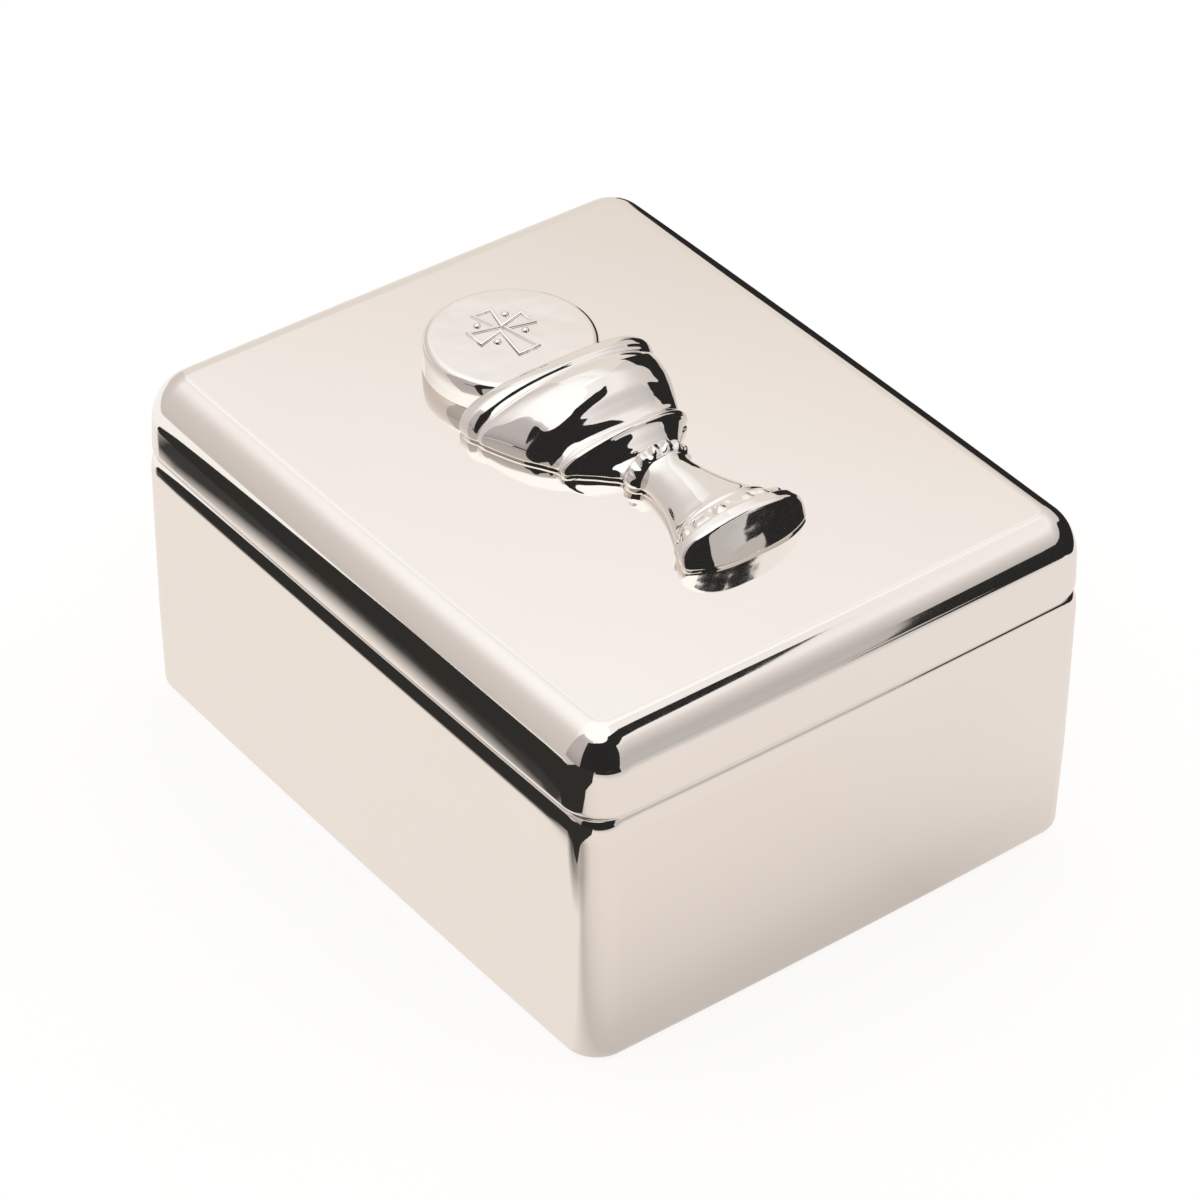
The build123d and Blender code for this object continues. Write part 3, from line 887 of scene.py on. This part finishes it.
# ---------------------------------------------------------------- camera
# the camera stands in front of the box and to its left, looks down on it, and aims near its middle
TURN = math.radians(-37.778)
CLIMB = math.radians(37.883)
ROLL = math.radians(0.686)
BOX_LENGTH = LID_LENGTH * MM
AIM = Vector((-0.0424, -0.0441, 0.3)) * BOX_LENGTH
DISTANCE = 6.3291 * BOX_LENGTH
LENS = 145.4
back = Vector((math.sin(TURN) * math.cos(CLIMB), -math.cos(TURN) * math.cos(CLIMB), math.sin(CLIMB)))
level_right = Z_AXIS.cross(back).normalized()
level_up = back.cross(level_right)
right = math.cos(ROLL) * level_right + math.sin(ROLL) * level_up
up = -math.sin(ROLL) * level_right + math.cos(ROLL) * level_up
camera_data = bpy.data.cameras.new("camera")
camera_data.sensor_width = 36
camera_data.lens = LENS
camera_data.clip_start = 0.01
camera_data.clip_end = 20
camera = bpy.data.objects.new("camera", camera_data)
facing = Matrix((right, up, back)).transposed().to_4x4()
camera.matrix_world = Matrix.Translation(AIM + back * DISTANCE) @ facing
bpy.context.scene.collection.objects.link(camera)
bpy.context.scene.camera = camera

# ---------------------------------------------------------------- studio
bpy.context.scene.view_settings.view_transform = "Standard"

STUDIO_CENTRE = Vector((0, 0, 0.035))
WALL_RADIUS = 1.2
FLAG_RADIUS = 1.1  # the black flags stand in front of the walls
WALL_ROWS = 12
WALL_FOOT = -2
CARD_HEIGHT = 0.0006  # of the dark cards that lie on the table, in metres
FLOOR_RADIUS = 4.0
FLOOR_COLOUR = (0.86, 0.85, 0.84)
FLOOR_GLOW = 1.1
FLOOR_VEIL = 0.75  # the share of plain glow in the floor that the camera sees

# how bright the studio is at each elevation, in degrees: a warm low wall under a big soft white light
WALL_TO_LIGHT = [
    (0, (0.62, 0.57, 0.54)),
    (20, (0.65, 0.60, 0.575)),
    (30, (0.70, 0.65, 0.625)),
    (37, (0.79, 0.735, 0.71)),
    (42, (0.88, 0.83, 0.81)),
    (47, (0.965, 0.933, 0.92)),
    (52, (1.02, 1.0, 0.99)),
    (62, (1.10, 1.09, 1.08)),
]
BACK_WALL = [
    (0, (0.775, 0.713, 0.66)),
    (30, (0.79, 0.73, 0.68)),
    (32.5, (0.805, 0.748, 0.704)),
    (34.5, (0.862, 0.807, 0.768)),
    (36.5, (0.907, 0.860, 0.837)),
    (38.5, (0.934, 0.895, 0.880)),
    (40.5, (0.958, 0.926, 0.913)),
    (44, (1.0, 0.985, 0.97)),
]
BACK_WALL_TILT = 0.25  # its colours climb towards the right
BACK_WALL_MIDDLE = 0.52
FRONT_WALL = [
    (0, (0.525, 0.490, 0.475)),
    (9, (0.505, 0.475, 0.455)),
    (15, (0.515, 0.483, 0.465)),
    (22, (0.58, 0.54, 0.525)),
    (32, (0.70, 0.655, 0.64)),
    (37, (0.79, 0.74, 0.725)),
    (42, (0.89, 0.845, 0.825)),
    (47, (0.93, 0.89, 0.87)),
    (58, (0.90, 0.865, 0.845)),
    (75, (0.96, 0.93, 0.915)),
]
DARK = (0.022, 0.021, 0.020)
DARK_TABLE = (0.030, 0.028, 0.025)
# the table's colour in the polish, from the front (-Y) to beside the box, in metres; the stops that
# darken from -0.060 to -0.0375, just in front of the box, are a painted shadow of the box on the table
TABLE_AND_BOX_SHADOW_IN_FRONT = [
    (-0.500, (0.50, 0.47, 0.455)),
    (-0.230, (0.62, 0.585, 0.565)),
    (-0.140, (0.825, 0.755, 0.715)),
    (-0.075, (0.825, 0.755, 0.715)),
    (-0.060, (0.800, 0.730, 0.691)),
    (-0.056, (0.782, 0.713, 0.676)),
    (-0.052, (0.762, 0.695, 0.658)),
    (-0.0485, (0.735, 0.670, 0.635)),
    (-0.0455, (0.700, 0.638, 0.605)),
    (-0.0425, (0.650, 0.593, 0.562)),
    (-0.0395, (0.580, 0.529, 0.501)),
    (-0.0375, (0.575, 0.524, 0.497)),
    (-0.034, (0.845, 0.785, 0.742)),
    (0.040, (0.858, 0.800, 0.755)),
    (0.075, (0.858, 0.800, 0.755)),
    (0.100, (0.960, 0.935, 0.915)),
]
TABLE_RIGHT = (0.012, 0.040)  # where it turns lighter on the right
TABLE_RIGHT_END = (-0.210, -0.130)  # and where that ends, in front
TABLE_RIGHT_COLOUR = (0.825, 0.765, 0.729)
TABLE_FAR_LEFT = (0.600, 0.553, 0.525)
TABLE_FAR_LEFT_X = (-0.200, -0.212)
# the dark beside the box on the left has a soft, bowed edge
LEFT_SHADE = (0.045, 0.043, 0.040)
LEFT_SHADE_X = (-0.0541, -0.0574)
LEFT_SHADE_END = (-0.012, -0.004)
LEFT_SHADE_BACK = (0.083, 0.073)
LEFT_SHADE_REACH = (-0.075, -0.070)
LEFT_BOW = 2.2
LEFT_BOW_MIDDLE = 0.030
CORNER_SHADE = (0.115, 0.100, 0.085)  # the shadow beside the near corner
CORNER_SHADE_X = (-0.0500, -0.0560)
CORNER_SHADE_Y = (-0.0510, -0.0180)
CORNER_SHADE_END = (-0.006, -0.011)
LEFT_WALL = [
    (0, (0.343, 0.310, 0.300)),
    (10, (0.432, 0.396, 0.386)),
    (20, (0.478, 0.440, 0.431)),
    (42, (0.495, 0.457, 0.449)),
    (50, (0.539, 0.506, 0.503)),
    (55, (0.787, 0.758, 0.751)),
]


def ramp_of(tree, stops, place):
    """A colour ramp through stops, given as (value, colour), with place turning a value into 0 to 1."""
    node = add(tree, "ShaderNodeValToRGB")
    ramp = node.color_ramp
    ramp.elements[0].position = place(stops[0][0])
    ramp.elements[0].color = (*stops[0][1], 1)
    ramp.elements[1].position = place(stops[-1][0])
    ramp.elements[1].color = (*stops[-1][1], 1)
    for value, colour in stops[1:-1]:
        ramp.elements.new(place(value)).color = (*colour, 1)
    return node


def bare_tree(holder):
    """The emptied node tree of a world or a material."""
    holder.use_nodes = True
    tree = holder.node_tree
    for node in list(tree.nodes):
        tree.nodes.remove(node)
    return tree


def world_light():
    """The room's light, by elevation, and plain white where the camera sees it."""
    world = bpy.data.worlds.new("studio")
    bpy.context.scene.world = world
    tree = bare_tree(world)
    out = add(tree, "ShaderNodeOutputWorld")
    place = add(tree, "ShaderNodeTexCoord")
    split = add(tree, "ShaderNodeSeparateXYZ")
    tree.links.new(place.outputs["Generated"], split.inputs[0])
    ramp = ramp_of(tree, WALL_TO_LIGHT, lambda e: math.sin(math.radians(e)))
    tree.links.new(split.outputs["Z"], ramp.inputs["Fac"])
    soft = add(tree, "ShaderNodeBackground", Strength=1.0)
    tree.links.new(ramp.outputs["Color"], soft.inputs["Color"])
    white = add(tree, "ShaderNodeBackground", Color=(1, 1, 1, 1), Strength=1.0)
    path = add(tree, "ShaderNodeLightPath")
    mix = add(tree, "ShaderNodeMixShader")
    tree.links.new(path.outputs["Is Camera Ray"], mix.inputs["Fac"])
    tree.links.new(soft.outputs[0], mix.inputs[1])
    tree.links.new(white.outputs[0], mix.inputs[2])
    tree.links.new(mix.outputs[0], out.inputs["Surface"])


def reflected_only(name, bm, tree_maker):
    """A card that only the polished metal sees, so that it shapes the reflections and lights nothing."""
    mesh = bpy.data.meshes.new(name)
    bm.to_mesh(mesh)
    bm.free()
    material = bpy.data.materials.new(name)
    tree = bare_tree(material)
    out = add(tree, "ShaderNodeOutputMaterial")
    light = add(tree, "ShaderNodeEmission", Strength=1.0)
    tree_maker(tree, light)
    tree.links.new(light.outputs[0], out.inputs["Surface"])
    thing = bpy.data.objects.new(name, mesh)
    thing.data.materials.append(material)
    thing.visible_camera = False
    thing.visible_diffuse = False
    thing.visible_shadow = False
    bpy.context.scene.collection.objects.link(thing)


def in_studio(azimuth, elevation, radius):
    """The place at an azimuth and an elevation, in degrees, seen from the middle of the studio."""
    a, e = math.radians(azimuth), math.radians(elevation)
    way = Vector((math.cos(e) * math.cos(a), math.cos(e) * math.sin(a), math.sin(e)))
    return STUDIO_CENTRE + radius * way


def wall_card(name, columns, stops, radius=WALL_RADIUS, tilt=0.0, middle=0.0):
    """A card that stands round the studio.

    Each column is its azimuth, its lowest and its highest elevation. The colours change with height,
    and tilt lets them climb along +X, from middle outwards.
    """
    last = len(columns) - 1
    bm = bmesh.new()
    bmesh.ops.create_grid(bm, x_segments=last, y_segments=WALL_ROWS, size=1)
    for v in bm.verts:
        azimuth, low, high = columns[round((v.co.x + 1) / 2 * last)]
        v.co = in_studio(azimuth, low + (high - low) * (v.co.y + 1) / 2, radius)

    def shade(tree, light):
        if len(stops) == 1:
            light.inputs["Color"].default_value = (*stops[0][1], 1)
            return
        place = add(tree, "ShaderNodeTexCoord")
        height = add(tree, "ShaderNodeVectorMath", operation="DOT_PRODUCT")
        height.inputs[1].default_value = (-tilt / radius, 0, 1 / radius)
        tree.links.new(place.outputs["Object"], height.inputs[0])
        scale = add(tree, "ShaderNodeMath", operation="ADD")
        scale.inputs[1].default_value = tilt * middle - STUDIO_CENTRE.z / radius
        tree.links.new(height.outputs["Value"], scale.inputs[0])
        ramp = ramp_of(tree, stops, lambda e: math.sin(math.radians(e)))
        tree.links.new(scale.outputs[0], ramp.inputs["Fac"])
        tree.links.new(ramp.outputs["Color"], light.inputs["Color"])

    reflected_only(name, bm, shade)


def level_wall(name, azimuths, top, stops, **ways):
    """A wall of one height, from just below the table to its top."""
    wall_card(name, [(azimuth, WALL_FOOT, top) for azimuth in azimuths], stops, **ways)


def black_flag(name, columns):
    """A dark card that stands in front of the walls."""
    wall_card(name, columns, [(0, DARK)], FLAG_RADIUS)


def table_card(name, corners, colour):
    """A card lying on the table, given by its corners in metres."""
    bm = bmesh.new()
    flat_face(bm, [(x, y, CARD_HEIGHT) for x, y in corners])

    def shade(tree, light):
        light.inputs["Color"].default_value = (*colour, 1)

    reflected_only(name, bm, shade)


def faded(tree, fades):
    """The product of fades, each from 0 to 1 as its source goes from low to high."""
    share = None
    for source, (low, high) in fades:
        part = spread(tree, source, 0, 1, low, high)
        if share is not None:
            fade = add(tree, "ShaderNodeMath", operation="MULTIPLY")
            tree.links.new(share, fade.inputs[0])
            tree.links.new(part, fade.inputs[1])
            part = fade.outputs[0]
        share = part
    return share


def bowed_across(tree, x, y):
    """Where a point lies across the bowed left shade."""
    middle = add(tree, "ShaderNodeMath", operation="SUBTRACT")
    middle.inputs[1].default_value = LEFT_BOW_MIDDLE
    tree.links.new(y, middle.inputs[0])
    square = add(tree, "ShaderNodeMath", operation="MULTIPLY")
    tree.links.new(middle.outputs[0], square.inputs[0])
    tree.links.new(middle.outputs[0], square.inputs[1])
    bowed = add(tree, "ShaderNodeMath", operation="MULTIPLY_ADD")
    bowed.inputs[1].default_value = -LEFT_BOW
    tree.links.new(square.outputs[0], bowed.inputs[0])
    tree.links.new(x, bowed.inputs[2])
    return bowed.outputs[0]


def table_in_metal(tree):
    """The table as the polished metal sees it: pale near the box, darker in front and at the left, with a
    painted shadow of the box just in front of it and beside its near corner.
    """
    place = add(tree, "ShaderNodeTexCoord")
    split = add(tree, "ShaderNodeSeparateXYZ")
    tree.links.new(place.outputs["Object"], split.inputs[0])
    x, y = split.outputs["X"], split.outputs["Y"]
    near, far = TABLE_AND_BOX_SHADOW_IN_FRONT[0][0], TABLE_AND_BOX_SHADOW_IN_FRONT[-1][0]
    # this ramp holds the table's colour and, just in front of the box, a painted shadow of the box
    away = ramp_of(tree, TABLE_AND_BOX_SHADOW_IN_FRONT, lambda value: (value - near) / (far - near))
    tree.links.new(spread(tree, y, 0, 1, near, far), away.inputs["Fac"])
    bowed = bowed_across(tree, x, y)
    left_sides = [(bowed, LEFT_SHADE_X), (y, LEFT_SHADE_END), (y, LEFT_SHADE_BACK), (x, LEFT_SHADE_REACH)]
    colour = away.outputs["Color"]
    for tint, sides in (
        (TABLE_RIGHT_COLOUR, [(x, TABLE_RIGHT), (y, TABLE_RIGHT_END)]),
        (LEFT_SHADE, left_sides),
        (CORNER_SHADE, [(x, CORNER_SHADE_X), (y, CORNER_SHADE_Y), (y, CORNER_SHADE_END)]),
        (TABLE_FAR_LEFT, [(x, TABLE_FAR_LEFT_X)]),
    ):
        tinted = add(tree, "ShaderNodeMix", data_type="RGBA")
        tree.links.new(faded(tree, sides), tinted.inputs["Factor"])
        tree.links.new(colour, tinted.inputs[6])
        tinted.inputs[7].default_value = (*tint, 1)
        colour = tinted.outputs[2]
    return colour


def floor():
    """A pale floor, with the table's colours and the painted shadow of the box where the metal mirrors
    it.
    """
    bm = bmesh.new()
    bmesh.ops.create_circle(bm, cap_ends=True, segments=96, radius=FLOOR_RADIUS)
    mesh = bpy.data.meshes.new("floor")
    bm.to_mesh(mesh)
    bm.free()
    material = bpy.data.materials.new("pale_floor")
    material.use_nodes = True
    tree = material.node_tree
    shader = tree.nodes["Principled BSDF"]
    out = tree.nodes["Material Output"]
    shader.inputs["Base Color"].default_value = (*FLOOR_COLOUR, 1)
    shader.inputs["Roughness"].default_value = 0.9
    glow = add(tree, "ShaderNodeEmission", Strength=FLOOR_GLOW, Color=(1, 1, 1, 1))
    table = add(tree, "ShaderNodeEmission", Strength=1.0)
    tree.links.new(table_in_metal(tree), table.inputs["Color"])
    path = add(tree, "ShaderNodeLightPath")
    veil = add(tree, "ShaderNodeMixShader")
    veil.inputs["Fac"].default_value = FLOOR_VEIL
    seen = add(tree, "ShaderNodeMixShader")
    mirrored = add(tree, "ShaderNodeMixShader")
    tree.links.new(shader.outputs[0], veil.inputs[1])
    tree.links.new(glow.outputs[0], veil.inputs[2])
    tree.links.new(path.outputs["Is Camera Ray"], seen.inputs["Fac"])
    tree.links.new(shader.outputs[0], seen.inputs[1])
    tree.links.new(veil.outputs[0], seen.inputs[2])
    tree.links.new(path.outputs["Is Glossy Ray"], mirrored.inputs["Fac"])
    tree.links.new(seen.outputs[0], mirrored.inputs[1])
    tree.links.new(table.outputs[0], mirrored.inputs[2])
    tree.links.new(mirrored.outputs[0], out.inputs["Surface"])
    thing = bpy.data.objects.new("floor", mesh)
    thing.data.materials.append(material)
    bpy.context.scene.collection.objects.link(thing)


world_light()
floor()
level_wall(
    "back_wall", (38, 46, 54, 62, 72), 44, BACK_WALL, tilt=BACK_WALL_TILT, middle=BACK_WALL_MIDDLE
)
front_wall = [(272, WALL_FOOT, 47), (280, WALL_FOOT, 47), (288, WALL_FOOT, 49), (296, WALL_FOOT, 60)]
front_wall += [(azimuth, WALL_FOOT, 75) for azimuth in (304, 312, 320, 330)]
front_wall += [(345, 30, 75), (360, 40, 75), (385, 46, 75)]
wall_card("front_wall", front_wall, FRONT_WALL)
level_wall("left_wall", (150, 160, 170, 180, 190, 202), 54, LEFT_WALL)
# black flags: the camera's side, a long one over the front wall, and a low one on the right
camera_flag = [(188, -4, 47), (195, -4, 48), (204, -4, 50), (214, -4, 52), (224, -4, 53), (236, -4, 54)]
camera_flag += [(248, -4, 57), (256, -4, 60), (264, -4, 67), (269, -4, 68), (276, 25, 68)]
black_flag("camera_flag", camera_flag)
top_flag = [(276, 40, 68), (285, 40, 68), (300, 43, 67.5), (310, 47, 66), (320, 51, 65), (330, 55, 62)]
top_flag += [(345, 58, 60)]
black_flag("top_flag", top_flag)
right_flag = [(301.2, -8, -1), (302.2, -8, 9), (302.8, -8, 14), (306, -8, 15), (312, -8, 16)]
right_flag += [(319, -7, 16), (325, -6, 16), (332, -6, 17), (340, -6, 19), (346, -6, 22), (350, -6, 23)]
right_flag += [(355, -6, 22), (362, -6, 12), (368, -6, 9), (374, -6, 11), (380, -6, 13), (386, -6, 14)]
right_flag += [(392, -6, 15), (398, -6, 16), (402, -6, 18)]
black_flag("right_flag", right_flag)
# the dark table beyond the pale paper that the box stands on
left_edge = [(-0.0575, 0.085), (-0.0570, -0.030), (-0.075, -0.055), (-0.10, -0.085), (-0.30, -0.24)]
left_far = [(-1.2, -1.0), (-1.2, 0.05), (-0.20, 0.035), (-0.165, 0.060), (-0.180, 0.095)]
left_far += [(-0.198, 0.133), (-0.11, 0.105)]
table_card("table_left", left_edge + left_far, DARK_TABLE)
front_left = [(-0.045, -0.29), (-0.010, -0.29), (0.020, -1.15), (-0.9, -0.75), (-0.30, -0.26)]
table_card("table_front_left", front_left, DARK)
right_edge = [(0.055, 0.06), (0.060, 0.03), (0.100, -0.005), (0.108, -0.045), (0.155, -0.125)]
right_edge += [(0.158, -0.21), (0.161, -0.306), (0.192, -0.345), (0.28, -0.42), (0.60, -1.05)]
right_far = [(1.3, -1.2), (1.3, 1.4), (0.60, 0.72), (0.10, 0.12)]
table_card("table_right", right_edge + right_far, DARK)
